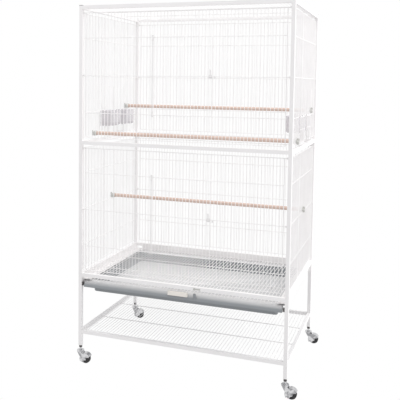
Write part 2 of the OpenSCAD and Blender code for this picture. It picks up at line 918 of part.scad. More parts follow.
// Double cup on the inside of the right-hand panel, hung over the cross wire above its opening
module cup(first) {
  w = feeder_spaces * py - 2 * cup_side;
  y0 = -in_y + first * py + cup_side;
  back = wall_in - 0.5;
  top = top_rail_z - row_4 + row_wire / 2 + 2.1;
  hook = 2;
  low = top - cup_height;
  d = cup_depth;
  h = cup_height;
  pocket = (w - 3 * cup_wall) / 2;
  difference() {
    translate([back, y0, low])
      rotate([90, 0, 0])
        mirror([1, 0, 0])
          translate([0, 0, -w])
            linear_extrude(height = w)
              polygon([[0, 0], [d - 8, 0], [d, 14], [d, h - 14], [0, h]]);
    for (i = [0, 1])
      translate([back, y0 + cup_wall + i * (pocket + cup_wall), low])
        rotate([90, 0, 0])
          mirror([1, 0, 0])
            translate([0, 0, -pocket])
              linear_extrude(height = pocket)
                polygon([[cup_wall, cup_wall], [d - 8.8, cup_wall], [d - cup_wall, 14.4],
                  [d - cup_wall, h + eps], [cup_wall, h + eps]]);
  }
  for (q = [1.5, 5.5])
    translate([0, -in_y + (first + q) * py, 0]) {
      box([back - cup_wall, -3, top - hook], [wall_out + 0.4 + 1.6, 3, top]);
      box([wall_out + 0.4, -3, top - 8], [wall_out + 0.4 + 1.6, 3, top]);
    }
}

module cup_left_front() {
  color(smoke)
    translate([shift_x, 0, 0])
      mirror([1, 0, 0])
        cup(feeder_a);
}

module cup_left_rear() {
  color(smoke)
    translate([shift_x, 0, 0])
      mirror([1, 0, 0])
        cup(feeder_b);
}

module cup_right_front() {
  color(smoke)
    translate([shift_x, 0, 0])
      cup(feeder_a);
}

module cup_right_rear() {
  color(smoke)
    translate([shift_x, 0, 0])
      cup(feeder_b);
}

module at_caster(sx, sy) {
  translate([shift_x + sx * post_x, sy * post_y, 0])
    children();
}

// Stem with a collar under the socket boss, one above the swivel disc and a riveted head below it
module caster_stems() {
  collar_low = disc_top_z + swivel_gap;
  rivet_low = disc_low_z - swivel_gap - rivet_h;
  color(steel)
    for (sx = [-1, 1], sy = [-1, 1])
      at_caster(sx, sy) {
        translate([0, 0, rivet_low])
          cylinder(h = post_bottom_z + stem_len - rivet_low, r = stem_r, $fn = 48);
        translate([0, 0, rivet_low])
          cylinder(h = rivet_h, r = rivet_r, $fn = 48);
        translate([0, 0, collar_low])
          cylinder(h = collar_h, r = rivet_r, $fn = 48);
        translate([0, 0, post_bottom_z - boss_h - collar_h])
          cylinder(h = collar_h, r = collar_r, $fn = 48);
      }
}

// Sector that the hood covers, over the top of the wheel and down its left side
module hood_sector() {
  reach = 2 * hood_r;
  polygon([[0, 0], [reach * cos(hood_right), reach * sin(hood_right)], [reach, reach], [-reach, reach],
    [-reach, -reach * tan(hood_left)]]);
}

// One cheek seen from the side, with the lower right quarter of the wheel left in view
module cheek() {
  neck = disc_r - 3;
  neck_top = hood_r + disc_rise + 1;
  translate([caster_trail, axle_z])
    difference() {
      union() {
        difference() {
          circle(r = cheek_r, $fn = 96);
          polygon([[-9, -wheel_r], [-1, -5], [3, 0], [3, 6], [wheel_r, 6], [wheel_r, -wheel_r]]);
          translate([-wheel_r, -wheel_r])
            square([2 * wheel_r, 5]);
        }
        intersection() {
          circle(r = hood_r, $fn = 96);
          hood_sector();
        }
        circle(r = axle_r + 3, $fn = 48);
        polygon([[-caster_trail - neck, neck_top], [-caster_trail + neck / 2, neck_top],
          [-hood_r / 3, hood_r - 4], [-cheek_r + 1, 0]]);
      }
      circle(r = axle_r, $fn = 48);
    }
}

// Swivel disc, two cheeks and the crown of the hood between them
module fork() {
  inner = fork_half - fork_t;
  difference() {
    union() {
      for (s = [-fork_half, inner])
        translate([0, s + fork_t, 0])
          rotate([90, 0, 0])
            linear_extrude(height = fork_t)
              cheek();
      translate([caster_trail, inner + small, axle_z])
        rotate([90, 0, 0])
          linear_extrude(height = 2 * inner + 2 * small)
            intersection() {
              difference() {
                circle(r = hood_r, $fn = 96);
                circle(r = wheel_r + hood_gap, $fn = 96);
              }
              hood_sector();
            }
      translate([0, 0, disc_low_z])
        cylinder(h = disc_t, r = disc_r, $fn = 96);
    }
    translate([0, 0, disc_low_z - eps])
      cylinder(h = disc_t + 2 * eps, r = stem_r + caster_play, $fn = 48);
  }
}

module caster_fork_front_left() {
  color(steel)
    at_caster(-1, -1)
      fork();
}

module caster_fork_front_right() {
  color(steel)
    at_caster(1, -1)
      fork();
}

module caster_fork_rear_left() {
  color(steel)
    at_caster(-1, 1)
      fork();
}

module caster_fork_rear_right() {
  color(steel)
    at_caster(1, 1)
      fork();
}

module axle() {
  translate([caster_trail, 0, axle_z])
    rotate([90, 0, 0]) {
      translate([0, 0, -caster_side])
        cylinder(h = 2 * caster_side, r = axle_r, $fn = 48);
      for (s = [-caster_side, fork_half])
        translate([0, 0, s])
          cylinder(h = axle_head, r = 5, $fn = 48);
    }
}

module caster_axle_front_left() {
  color(steel)
    at_caster(-1, -1)
      axle();
}

module caster_axle_front_right() {
  color(steel)
    at_caster(1, -1)
      axle();
}

module caster_axle_rear_left() {
  color(steel)
    at_caster(-1, 1)
      axle();
}

module caster_axle_rear_right() {
  color(steel)
    at_caster(1, 1)
      axle();
}

module hub() {
  q = wheel_w / 2;
  b = axle_r + caster_play;
  translate([caster_trail, 0, axle_z])
    rotate([90, 0, 0])
      rotate_extrude($fn = 96)
        polygon([[b, -q + 0.2], [b + 2.5, -q + 0.2], [b + 2.5, -q + 2.5], [hub_r - 3, -q + 2.5],
          [hub_r - 2, -q + 0.6], [hub_r, -q + 0.6], [hub_r, q - 0.6], [hub_r - 2, q - 0.6],
          [hub_r - 3, q - 2.5], [b + 2.5, q - 2.5], [b + 2.5, q - 0.2], [b, q - 0.2]]);
}

module caster_hub_front_left() {
  color(rubber)
    at_caster(-1, -1)
      hub();
}

module caster_hub_front_right() {
  color(rubber)
    at_caster(1, -1)
      hub();
}

module caster_hub_rear_left() {
  color(rubber)
    at_caster(-1, 1)
      hub();
}

module caster_hub_rear_right() {
  color(rubber)
    at_caster(1, 1)
      hub();
}

module tyre() {
  q = wheel_w / 2;
  translate([caster_trail, 0, axle_z])
    rotate([90, 0, 0])
      rotate_extrude($fn = 96)
        polygon([[hub_r, -q + 0.3], [wheel_r - 2.5, -q], [wheel_r - 0.8, -q + 1], [wheel_r, -q + 3],
          [wheel_r, q - 3], [wheel_r - 0.8, q - 1], [wheel_r - 2.5, q], [hub_r, q - 0.3]]);
}

module caster_tyre_front_left() {
  color(rubber)
    at_caster(-1, -1)
      tyre();
}

module caster_tyre_front_right() {
  color(rubber)
    at_caster(1, -1)
      tyre();
}

module caster_tyre_rear_left() {
  color(rubber)
    at_caster(-1, 1)
      tyre();
}

module caster_tyre_rear_right() {
  color(rubber)
    at_caster(1, 1)
      tyre();
}

post_front_left();
post_front_right();
post_rear_left();
post_rear_right();
top_frame_rails();
mid_frame_rails();
base_frame_rails();
shelf_frame_rails();
plugs_and_bumpers();
feeder_guides();
front_upper_panel();
front_lower_panel();
rear_upper_panel();
rear_lower_panel();
left_upper_panel();
left_lower_panel();
right_upper_panel();
right_lower_panel();
top_panel();
shelf_grid();
tray_runners();
panel_clips();
front_door_fittings();
perch_upper_rear();
perch_upper_front();
perch_lower();
perch_fittings();
caster_stems();
upper_front_door();
lower_front_door();
upper_door_latch();
lower_door_latch();
tray();
tray_handle();
grille();
tray_catch();
feeder_door_left_front();
feeder_door_left_rear();
feeder_door_right_front();
feeder_door_right_rear();
cup_left_front();
cup_left_rear();
cup_right_front();
cup_right_rear();
caster_fork_front_left();
caster_fork_front_right();
caster_fork_rear_left();
caster_fork_rear_right();
caster_axle_front_left();
caster_axle_front_right();
caster_axle_rear_left();
caster_axle_rear_right();
caster_hub_front_left();
caster_hub_front_right();
caster_hub_rear_left();
caster_hub_rear_right();
caster_tyre_front_left();
caster_tyre_front_right();
caster_tyre_rear_left();
caster_tyre_rear_right();
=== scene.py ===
import json
import math

import bpy
from mathutils import Matrix, Vector


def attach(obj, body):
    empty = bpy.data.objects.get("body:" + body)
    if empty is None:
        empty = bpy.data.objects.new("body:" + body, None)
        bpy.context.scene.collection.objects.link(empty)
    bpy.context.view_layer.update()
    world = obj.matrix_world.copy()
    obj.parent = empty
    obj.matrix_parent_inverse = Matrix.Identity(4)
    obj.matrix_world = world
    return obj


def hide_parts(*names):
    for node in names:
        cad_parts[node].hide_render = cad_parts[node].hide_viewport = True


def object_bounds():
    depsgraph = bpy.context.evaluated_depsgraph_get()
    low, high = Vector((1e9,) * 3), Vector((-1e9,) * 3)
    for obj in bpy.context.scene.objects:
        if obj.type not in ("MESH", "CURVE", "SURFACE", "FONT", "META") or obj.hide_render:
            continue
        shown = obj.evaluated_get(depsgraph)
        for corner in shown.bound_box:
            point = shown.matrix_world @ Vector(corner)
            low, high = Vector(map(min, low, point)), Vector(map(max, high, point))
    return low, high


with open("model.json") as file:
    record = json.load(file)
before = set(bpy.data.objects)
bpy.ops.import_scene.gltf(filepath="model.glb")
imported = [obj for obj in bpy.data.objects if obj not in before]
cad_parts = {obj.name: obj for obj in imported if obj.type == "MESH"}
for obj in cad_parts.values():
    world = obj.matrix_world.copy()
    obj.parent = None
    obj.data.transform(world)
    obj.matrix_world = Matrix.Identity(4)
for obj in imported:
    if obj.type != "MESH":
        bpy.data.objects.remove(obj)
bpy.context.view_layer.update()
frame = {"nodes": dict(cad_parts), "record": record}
nodes = frame["nodes"]
node_slot = {s["node"]: s["material_slot"] for s in frame["record"]["subparts"]}
MM = 0.001

# ---------------------------------------------------------------- sizes that repeat the CAD part, in mm
# post centres and half a tube, the room between the posts, and the wire spaces across and along it
POST_X, POST_Y, HALF = 387.15, 253.15, 6.35
IN_X, IN_Y = POST_X - HALF, POST_Y - HALF
NX, NY = 60, 39
PX, PY = 2 * IN_X / NX, 2 * IN_Y / NY

# panels: rail heights, half the thickness, cross wires down from the rail; the shelf's height
TOP_Z, MID_Z, SHELF_Z = 1324.05, 830.0, 119.0
PANEL_HALF = 1.1
WALL_OUT = POST_X + PANEL_HALF
ROWS = (20.0, 111.0, 247.5, 384.0, 475.0)
ROOF_EDGE, ROOF_ROW = 13, 168
STIFF_SIDE_WIRE = 14

# openings in wire spaces: the front doors from the left, the feeders of a side from the front;
# and the rows of each panel, counted from the rail, that bound or cross them
DOOR_A, DOOR_B = 22, 39
DOOR_HEAD, DOOR_CROSS, DOOR_FOOT = 1, 2, 3
FEED, FEED_N = (11, 22), 7
FEED_HEAD, FEED_FOOT = 3, 4
SIDES = (("left", -1), ("right", 1))
FEEDERS = tuple((side_name, s, end, f) for side_name, s in SIDES for end, f in zip(("front", "rear"), FEED))
LEVELS = (("upper", TOP_Z), ("lower", MID_Z))

# gaps between a leaf and the wires it stands in front of
DOOR_GAP, FEED_GAP = 0.4, 2.8
LEAF_Y = -POST_Y - PANEL_HALF - DOOR_GAP - PANEL_HALF
FEED_X = WALL_OUT + FEED_GAP + PANEL_HALF

# grille: half its width, its spaces, how far it stands out in front and stops short behind
GRILLE_LEDGE, GRILLE_HALF = 319.8, 1.5
GRILLE_Z = GRILLE_LEDGE + GRILLE_HALF
GRILLE_X, GRILLE_SPACES = 360.0, 57
GRILLE_P = 2 * GRILLE_X / GRILLE_SPACES
GRILLE_FRONT, GRILLE_REAR = -POST_Y - 3.0, IN_Y - 6.0

# perches: wire spaces from the front, height
PERCHES = ((30.5, 956.05), (7.5, 859.05), (20.5, 594.0))

# the casters trail to the right, so the middle of the outline isn't the middle of the posts
TRAIL, DISC_R, HOOD_R, HOOD_END = 22.0, 13.5, 21.5, math.radians(28)
SHIFT = (DISC_R - TRAIL - HOOD_R * math.cos(HOOD_END)) / 2

# radii of round wire
WIRE_R, ROW_R, STIFF_R = 0.95, 1.25, 1.6
LEAF_WIRE_R = 1.0


# ---------------------------------------------------------------- mesh helpers
def circle(r, sides=24):
    """Points of a circle as (across, up) pairs."""
    turns = [2 * math.pi * j / sides for j in range(sides)]
    return [(r * math.cos(t), r * math.sin(t)) for t in turns]


def rounded(cx, cy, hx, hy, r, z, n=6):
    """Level ring of a rectangle with round corners; hx and hy are half its sides."""
    out = []
    for qx, qy, start in ((1, 1, 0), (-1, 1, 90), (-1, -1, 180), (1, -1, 270)):
        for t in range(n + 1):
            a = math.radians(start + 90 * t / n)
            out.append((cx + qx * (hx - r) + r * math.cos(a), cy + qy * (hy - r) + r * math.sin(a), z))
    return out


class Build:
    """Collects rings, rods and boxes of one piece, in mm from the middle of the post plan."""

    def __init__(self):
        self.v, self.f, self.smooth = [], [], []

    def add(self, verts, faces, smooth=True):
        n = len(self.v)
        self.v += [tuple(p) for p in verts]
        self.f += [tuple(n + i for i in q) for q in faces]
        self.smooth += [smooth] * len(faces)

    def path(self, points, r, sides=10, closed=False):
        """A round rod along the points, with mitred corners."""
        pts = [Vector(p) for p in points]
        m = len(pts)
        rings = []
        normal = None
        for i, p in enumerate(pts):
            before = pts[i - 1] if (i or closed) else None
            after = pts[(i + 1) % m] if (i < m - 1 or closed) else None
            t0 = (p - before).normalized() if before is not None else (after - p).normalized()
            t1 = (after - p).normalized() if after is not None else t0
            t = (t0 + t1).normalized()
            if normal is None:
                rough_up = Vector((0, 0, 1)) if abs(t.z) < 0.9 else Vector((1, 0, 0))
                normal = t.cross(rough_up).normalized()
            normal = (normal - t * normal.dot(t)).normalized()
            side = t.cross(normal)
            mitre = 1 / max(0.5, math.sqrt((1 + t0.dot(t1)) / 2))
            bend = (t1 - t0)
            bend = bend.normalized() if bend.length > 1e-6 else None
            ring = []
            for across, up in circle(1.0, sides):
                d = normal * across + side * up
                if bend is not None:
                    d = d + bend * d.dot(bend) * (mitre - 1)
                ring.append(p + d * r)
            rings.append(ring)
        verts = [q for ring in rings for q in ring]
        faces = []
        for i in range(m if closed else m - 1):
            a, b = i * sides, ((i + 1) % m) * sides
            for j in range(sides):
                k = (j + 1) % sides
                faces.append((a + j, a + k, b + k, b + j))
        self.add(verts, faces)
        if not closed:
            self.add(rings[0], [tuple(range(sides))[::-1]], False)
            self.add(rings[-1], [tuple(range(sides))], False)

    def box(self, corner, opposite):
        (x0, x1), (y0, y1), (z0, z1) = (sorted(pair) for pair in zip(corner, opposite))
        v = [(x, y, z) for z in (z0, z1) for y in (y0, y1) for x in (x0, x1)]
        f = [(0, 2, 3, 1), (4, 5, 7, 6), (0, 1, 5, 4), (2, 6, 7, 3), (0, 4, 6, 2), (1, 3, 7, 5)]
        self.add(v, f, False)

    def loft(self, rings, cap_first=True, cap_last=True):
        n = len(rings[0])
        faces = []
        for i in range(len(rings) - 1):
            for j in range(n):
                k = (j + 1) % n
                faces.append((i * n + j, i * n + k, (i + 1) * n + k, (i + 1) * n + j))
        if cap_first:
            faces.append(tuple(range(n))[::-1])
        if cap_last:
            faces.append(tuple((len(rings) - 1) * n + j for j in range(n)))
        self.add([p for ring in rings for p in ring], faces)

    def done(self, name, material, body, slot, *replaced, bevel=0.0):
        mesh = bpy.data.meshes.new(name)
        mesh.from_pydata([((x + SHIFT) * MM, y * MM, z * MM) for x, y, z in self.v], [], self.f)
        mesh.polygons.foreach_set("use_smooth", self.smooth)
        mesh.validate()
        mesh.update()
        piece = bpy.data.objects.new(name, mesh)
        bpy.context.scene.collection.objects.link(piece)
        mesh.materials.append(material)
        if bevel:
            mod = piece.modifiers.new("soft edge", "BEVEL")
            mod.width = bevel * MM
            mod.segments = 3
            mod.limit_method = "ANGLE"
        if replaced:
            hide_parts(*replaced)
        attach(piece, body)
        return piece


# ---------------------------------------------------------------- procedural materials
SHADE, ROUGH_SPREAD, GRAIN_DEPTH, FACING_UP = 0.94, 0.06, 0.0005, 0.35


def material(name, colour, rough, *, second=None, scale=40.0, detail=4.0, amount=0.5,
             stretch=(1, 1, 1), bump=0.02, bump_scale=900.0, metal=0.0, coat=0.0, alpha=1.0,
             spec=0.5, top=None):
    """Principled surface whose colour, roughness and height come from layered noise in object space; a given
    top colour is a painted highlight on faces that point up.
    """
    mat = bpy.data.materials.new(name)
    mat.use_nodes = True
    tree = mat.node_tree
    tree.nodes.clear()
    add = tree.nodes.new
    link = tree.links.new
    out = add("ShaderNodeOutputMaterial")
    bsdf = add("ShaderNodeBsdfPrincipled")
    coords = add("ShaderNodeTexCoord")
    mapping = add("ShaderNodeMapping")
    mapping.inputs["Scale"].default_value = stretch
    link(coords.outputs["Object"], mapping.inputs["Vector"])
    broad = add("ShaderNodeTexNoise")
    broad.inputs["Scale"].default_value = scale
    broad.inputs["Detail"].default_value = detail
    link(mapping.outputs["Vector"], broad.inputs["Vector"])
    fine = add("ShaderNodeTexNoise")
    fine.inputs["Scale"].default_value = bump_scale
    fine.inputs["Detail"].default_value = 2.0
    link(coords.outputs["Object"], fine.inputs["Vector"])
    ramp = add("ShaderNodeValToRGB")
    ramp.color_ramp.elements[0].position = 0.5 - amount / 2
    ramp.color_ramp.elements[1].position = 0.5 + amount / 2
    ramp.color_ramp.elements[0].color = (*(second or tuple(c * SHADE for c in colour)), 1)
    ramp.color_ramp.elements[1].color = (*colour, 1)
    link(broad.outputs["Fac"], ramp.inputs["Fac"])
    if top is None:
        link(ramp.outputs["Color"], bsdf.inputs["Base Color"])
    else:
        # painted highlight: faces that point up are mixed towards the paler top colour, as if lit from above
        normal = add("ShaderNodeNewGeometry")
        split = add("ShaderNodeSeparateXYZ")
        painted_highlight_mask = add("ShaderNodeMapRange")
        painted_highlight_mask.interpolation_type = "SMOOTHSTEP"
        painted_highlight_mask.inputs["From Min"].default_value = FACING_UP
        painted_highlight_mask.inputs["From Max"].default_value = 1.0
        painted_highlight_mix = add("ShaderNodeMix")
        painted_highlight_mix.data_type = "RGBA"
        painted_highlight_mix.inputs[7].default_value = (*top, 1)
        link(normal.outputs["Normal"], split.inputs["Vector"])
        link(split.outputs["Z"], painted_highlight_mask.inputs["Value"])
        link(painted_highlight_mask.outputs["Result"], painted_highlight_mix.inputs[0])
        link(ramp.outputs["Color"], painted_highlight_mix.inputs[6])
        link(painted_highlight_mix.outputs[2], bsdf.inputs["Base Color"])
    rough_map = add("ShaderNodeMapRange")
    rough_map.inputs["To Min"].default_value = max(0.02, rough - ROUGH_SPREAD)
    rough_map.inputs["To Max"].default_value = min(1.0, rough + ROUGH_SPREAD)
    link(fine.outputs["Fac"], rough_map.inputs["Value"])
    link(rough_map.outputs["Result"], bsdf.inputs["Roughness"])
    height = add("ShaderNodeBump")
    height.inputs["Strength"].default_value = bump
    height.inputs["Distance"].default_value = GRAIN_DEPTH
    link(fine.outputs["Fac"], height.inputs["Height"])
    link(height.outputs["Normal"], bsdf.inputs["Normal"])
    bsdf.inputs["Metallic"].default_value = metal
    bsdf.inputs["Coat Weight"].default_value = coat
    bsdf.inputs["Specular IOR Level"].default_value = spec
    bsdf.inputs["Alpha"].default_value = alpha
    link(bsdf.outputs["BSDF"], out.inputs["Surface"])
    return mat


WHITE = material("powder_coat_tube", (0.90, 0.885, 0.88), 0.42, scale=9, bump=0.10, bump_scale=1400)
WIRE = material("coated_wire", (0.90, 0.885, 0.88), 0.38, scale=14, bump=0.06, bump_scale=1800)
SHEET = material("coated_sheet", (0.86, 0.845, 0.84), 0.40, scale=7, bump=0.08, bump_scale=1200)
DARK = material("dark_moulding", (0.075, 0.068, 0.066), 0.45, scale=60, bump=0.15)
KNOB = material("knob_moulding", (0.56, 0.56, 0.53), 0.45, scale=60, bump=0.15)
WOOD = material("perch_wood", (0.72, 0.565, 0.49), 0.55, second=(0.63, 0.47, 0.40), scale=18, detail=8,
                stretch=(0.6, 14, 14), bump=0.18, bump_scale=500, spec=0.3)
# painted highlight: the tray's upward faces get the pale top colour, as if lit from above
TRAY = material("tray_plastic", (0.25, 0.266, 0.28), 0.36, scale=12, bump=0.10, bump_scale=900, coat=0.4,
                top=(0.70, 0.70, 0.70))
PULL = material("pull_plastic", (0.86, 0.82, 0.76), 0.45, scale=25)
CUP = material("smoked_plastic", (0.82, 0.795, 0.82), 0.18, scale=30, alpha=0.55, coat=0.3, bump=0.03)
TYRE = material("tyre_rubber", (0.018, 0.018, 0.019), 0.62, scale=80, bump=0.3, bump_scale=700)
HUB = material("hub_plastic", (0.035, 0.035, 0.037), 0.4, scale=30, bump=0.1)
# painted highlight: upward faces of the steel get the top colour, as if lit from above
ZINC = material("bright_steel", (0.69, 0.69, 0.70), 0.22, second=(0.33, 0.33, 0.34), scale=80, detail=1.0,
                amount=0.2, metal=0.95, bump=0.04, top=(0.58, 0.58, 0.59))

SLOT_MATERIAL = {
    "white_powder_coat": WHITE, "white_wire_coat": SHEET, "dark_plastic": DARK, "knob_plastic": KNOB,
    "perch_wood": WOOD, "tray_plastic": TRAY, "pull_plastic": PULL, "cup_plastic": CUP,
    "tyre_rubber": TYRE, "hub_plastic": HUB, "caster_steel": ZINC,
}

# CAD pieces: a material each, and edges rounded by so many mm
TUBE_EDGE, FORK_EDGE, SMALL_EDGE = 1.1, 0.8, 0.4
SMALL_PIECES = ("tray_handle", "tray_catch", "plugs_and_bumpers", "caster_stems")
for name, obj in nodes.items():
    obj.data.materials.clear()
    obj.data.materials.append(SLOT_MATERIAL[node_slot[name]])
    rounding = TUBE_EDGE if name.startswith("post_") or name.endswith("_rails") else 0.0
    if name.startswith("caster_fork"):
        rounding = FORK_EDGE
    elif name in SMALL_PIECES or "latch" in name:
        rounding = SMALL_EDGE
    if rounding:
        mod = obj.modifiers.new("rolled edge", "BEVEL")
        mod.width = rounding * MM
        mod.segments = 2
        mod.limit_method = "ANGLE"
        mod.angle_limit = math.radians(60)


# ---------------------------------------------------------------- wire panels as round welded wire
# uprights run past the end rows, rows lie inside the uprights, short rows end past the last upright
WIRE_PAST, ROW_IN, ROW_PAST = 0.6, 0.9, 1.2


def panel(name, place, n, p, rows, ext=(0, 2), stiff=(), gaps=()):
    """place(u, h, d) turns a point in the panel into the cage: u across, h up from the rail, d inward.

    The rows in ext reach the posts; a gap is (first space, last space, row above, row below)."""
    b = Build()
    x0 = -n * p / 2
    last = len(rows) - 1
    for k in range(1, n):
        heavy = k in (1, n - 1) or k in stiff
        spans = [(0, last)]
        for a, c, i, j in gaps:
            if a < k < c:
                spans = [s for old in spans for s in ((old[0], i), (j, old[1])) if s[0] != s[1]]
        for i, j in spans:
            b.path([place(x0 + k * p, -rows[j] - WIRE_PAST, 0), place(x0 + k * p, -rows[i] + WIRE_PAST, 0)],
                   STIFF_R if heavy else WIRE_R)
    for i, row in enumerate(rows):
        reach = n * p / 2 if i in ext else n * p / 2 - p + ROW_PAST
        cuts = [(-reach, reach)]
        for a, c, above, below in gaps:
            if above < i < below:
                u0, u1 = x0 + a * p, x0 + c * p
                cuts = [s for old in cuts for s in ((old[0], u0), (u1, old[1]))]
        for u0, u1 in cuts:
            b.path([place(u0, -row, ROW_IN), place(u1, -row, ROW_IN)], ROW_R)
    b.done(name, WIRE, "cage", "white_wire_coat", name.replace("wires_", ""))


def front(z):
    return lambda u, h, d: (u, -POST_Y + d, z + h)


def rear(z):
    return lambda u, h, d: (u, POST_Y - d, z + h)


def side(s, z):
    return lambda u, h, d: (s * (POST_X - d), u, z + h)


for level, z in LEVELS:
    panel(f"wires_front_{level}_panel", front(z), NX, PX, ROWS,
          gaps=((DOOR_A, DOOR_B, DOOR_HEAD, DOOR_FOOT),))
    panel(f"wires_rear_{level}_panel", rear(z), NX, PX, ROWS)
    for side_name, s in SIDES:
        holes = tuple((f, f + FEED_N, FEED_HEAD, FEED_FOOT) for f in FEED) if level == "upper" else ()
        panel(f"wires_{side_name}_{level}_panel", side(s, z), NY, PY, ROWS,
              stiff=(STIFF_SIDE_WIRE,), gaps=holes)

roof_rows = (HALF + ROOF_EDGE, HALF + ROOF_ROW,
             2 * POST_Y - HALF - ROOF_ROW, 2 * POST_Y - HALF - ROOF_EDGE)
panel("wires_top_panel", lambda u, h, d: (u, POST_Y + h, TOP_Z - d), NX, PX, roof_rows, ext=(0, 3))

# shelf: wires from rail to rail, two rods across under them
SHELF_ROD_R, SHELF_ROD_DROP = 1.4, 0.9
shelf = Build()
for k in range(1, NX):
    x = -IN_X + k * PX
    shelf.path([(x, -IN_Y, SHELF_Z), (x, IN_Y, SHELF_Z)], WIRE_R)
for y in (-IN_Y / 3, IN_Y / 3):
    shelf.path([(-IN_X, y, SHELF_Z - SHELF_ROD_DROP), (IN_X, y, SHELF_Z - SHELF_ROD_DROP)], SHELF_ROD_R)
shelf.done("wires_shelf_grid", WIRE, "cage", "white_wire_coat", "shelf_grid")

# grille: wires with free front ends, a heavier rod down each side, four bars across under them
GRILLE_WIRE_R, GRILLE_SIDE_R, GRILLE_BAR_R, GRILLE_BAR_DROP = 1.05, 1.5, 1.3, 0.5
BARS_FROM_FRONT, BARS_FROM_REAR = (6.5, 168.5), (161.5, 1.5)
grille = Build()
for k in range(GRILLE_SPACES + 1):
    x = -GRILLE_X + k * GRILLE_P
    grille.path([(x, GRILLE_FRONT, GRILLE_Z), (x, GRILLE_REAR, GRILLE_Z)],
                GRILLE_SIDE_R if k in (0, GRILLE_SPACES) else GRILLE_WIRE_R)
for y in [GRILLE_FRONT + d for d in BARS_FROM_FRONT] + [GRILLE_REAR - d for d in BARS_FROM_REAR]:
    grille.path([(-GRILLE_X, y, GRILLE_Z - GRILLE_BAR_DROP),
                 (-GRILLE_X + GRILLE_SPACES * GRILLE_P, y, GRILLE_Z - GRILLE_BAR_DROP)], GRILLE_BAR_R)
grille.done("wires_grille", WIRE, "grille_body", "white_wire_coat", "grille")

# ---------------------------------------------------------------- front door leaves
# bar round the edge with its corner radius, and the cross wire in front of the uprights
EDGE_R, EDGE_CORNER, CROSS_R, CROSS_OUT = 1.35, 4.0, 1.2, 0.3
# knuckles: the leaf's edge and the rod beside it, feet from the leaf's ends, (radius, height) of the
# barrel's rings, and the lug that joins barrel and leaf
LEAF_EDGE, HINGE_OUT = 1.5, 3.0
KNUCKLE_LOW, KNUCKLE_HIGH, KNUCKLE_BORE = 4, 14, 1.3
KNUCKLE = ((KNUCKLE_BORE, 0), (2.2, 0), (2.6, 0.5), (2.6, 9.5), (2.2, 10), (KNUCKLE_BORE, 10))
LUG_IN, LUG_HALF, LUG_FROM, LUG_TO = 2.2, 1.0, 1, 9
# latch pin: square plate that carries it, the room for the latch, and the rings of its head as
# (radius, distance in front of that room)
PLATE, LATCH_PLAY, LATCH_T, PIN_PLAY = 12, 0.55, 2.5, 0.4
PIN_R, PIN_HEAD = 1.45, ((3.0, 0), (2.9, 0.6), (2.0, 1.0))

for level, z in LEVELS:
    leaf = Build()
    u0, u1 = -IN_X + DOOR_A * PX, -IN_X + DOOR_B * PX
    lo, hi, mid = z - ROWS[DOOR_FOOT], z - ROWS[DOOR_HEAD], z - ROWS[DOOR_CROSS]
    loop = []
    for x, h, start in ((u0, lo, 180), (u1, lo, 270), (u1, hi, 0), (u0, hi, 90)):
        cx = x + (EDGE_CORNER if x == u0 else -EDGE_CORNER)
        ch = h + (EDGE_CORNER if h == lo else -EDGE_CORNER)
        for t in range(0, 91, 30):
            a = math.radians(start + t)
            loop.append((cx + EDGE_CORNER * math.cos(a), LEAF_Y, ch + EDGE_CORNER * math.sin(a)))
    leaf.path(loop, EDGE_R, closed=True)
    for k in range(DOOR_A + 1, DOOR_B):
        x = -IN_X + k * PX
        leaf.path([(x, LEAF_Y, lo), (x, LEAF_Y, hi)], LEAF_WIRE_R)
    leaf.path([(u0, LEAF_Y - CROSS_OUT, mid), (u1, LEAF_Y - CROSS_OUT, mid)], CROSS_R)
    hinge_x = u0 - LEAF_EDGE - HINGE_OUT
    for foot in (lo + KNUCKLE_LOW, hi - KNUCKLE_HIGH):
        barrel = [[(hinge_x + c, LEAF_Y + w, foot + h) for c, w in circle(r)] for r, h in KNUCKLE]
        leaf.loft(barrel + barrel[:1], False, False)
        leaf.box((hinge_x + LUG_IN, LEAF_Y - LUG_HALF, foot + LUG_FROM),
                 (u0, LEAF_Y + LUG_HALF, foot + LUG_TO))
    leaf.box((u1 - PLATE, LEAF_Y - PANEL_HALF, mid - PLATE / 2), (u1, LEAF_Y + PANEL_HALF, mid + PLATE / 2))
    pin_front = LEAF_Y - PANEL_HALF - LATCH_PLAY - LATCH_T - PIN_PLAY
    pin = [(PIN_R, LEAF_Y), (PIN_R, pin_front)] + [(r, pin_front - d) for r, d in PIN_HEAD]
    leaf.loft([[(u1 - PLATE / 2 + c, y, mid + w) for c, w in circle(r)] for r, y in pin])
    leaf.done(f"leaf_{level}_front_door", WIRE, f"{level}_door", "white_wire_coat", f"{level}_front_door")

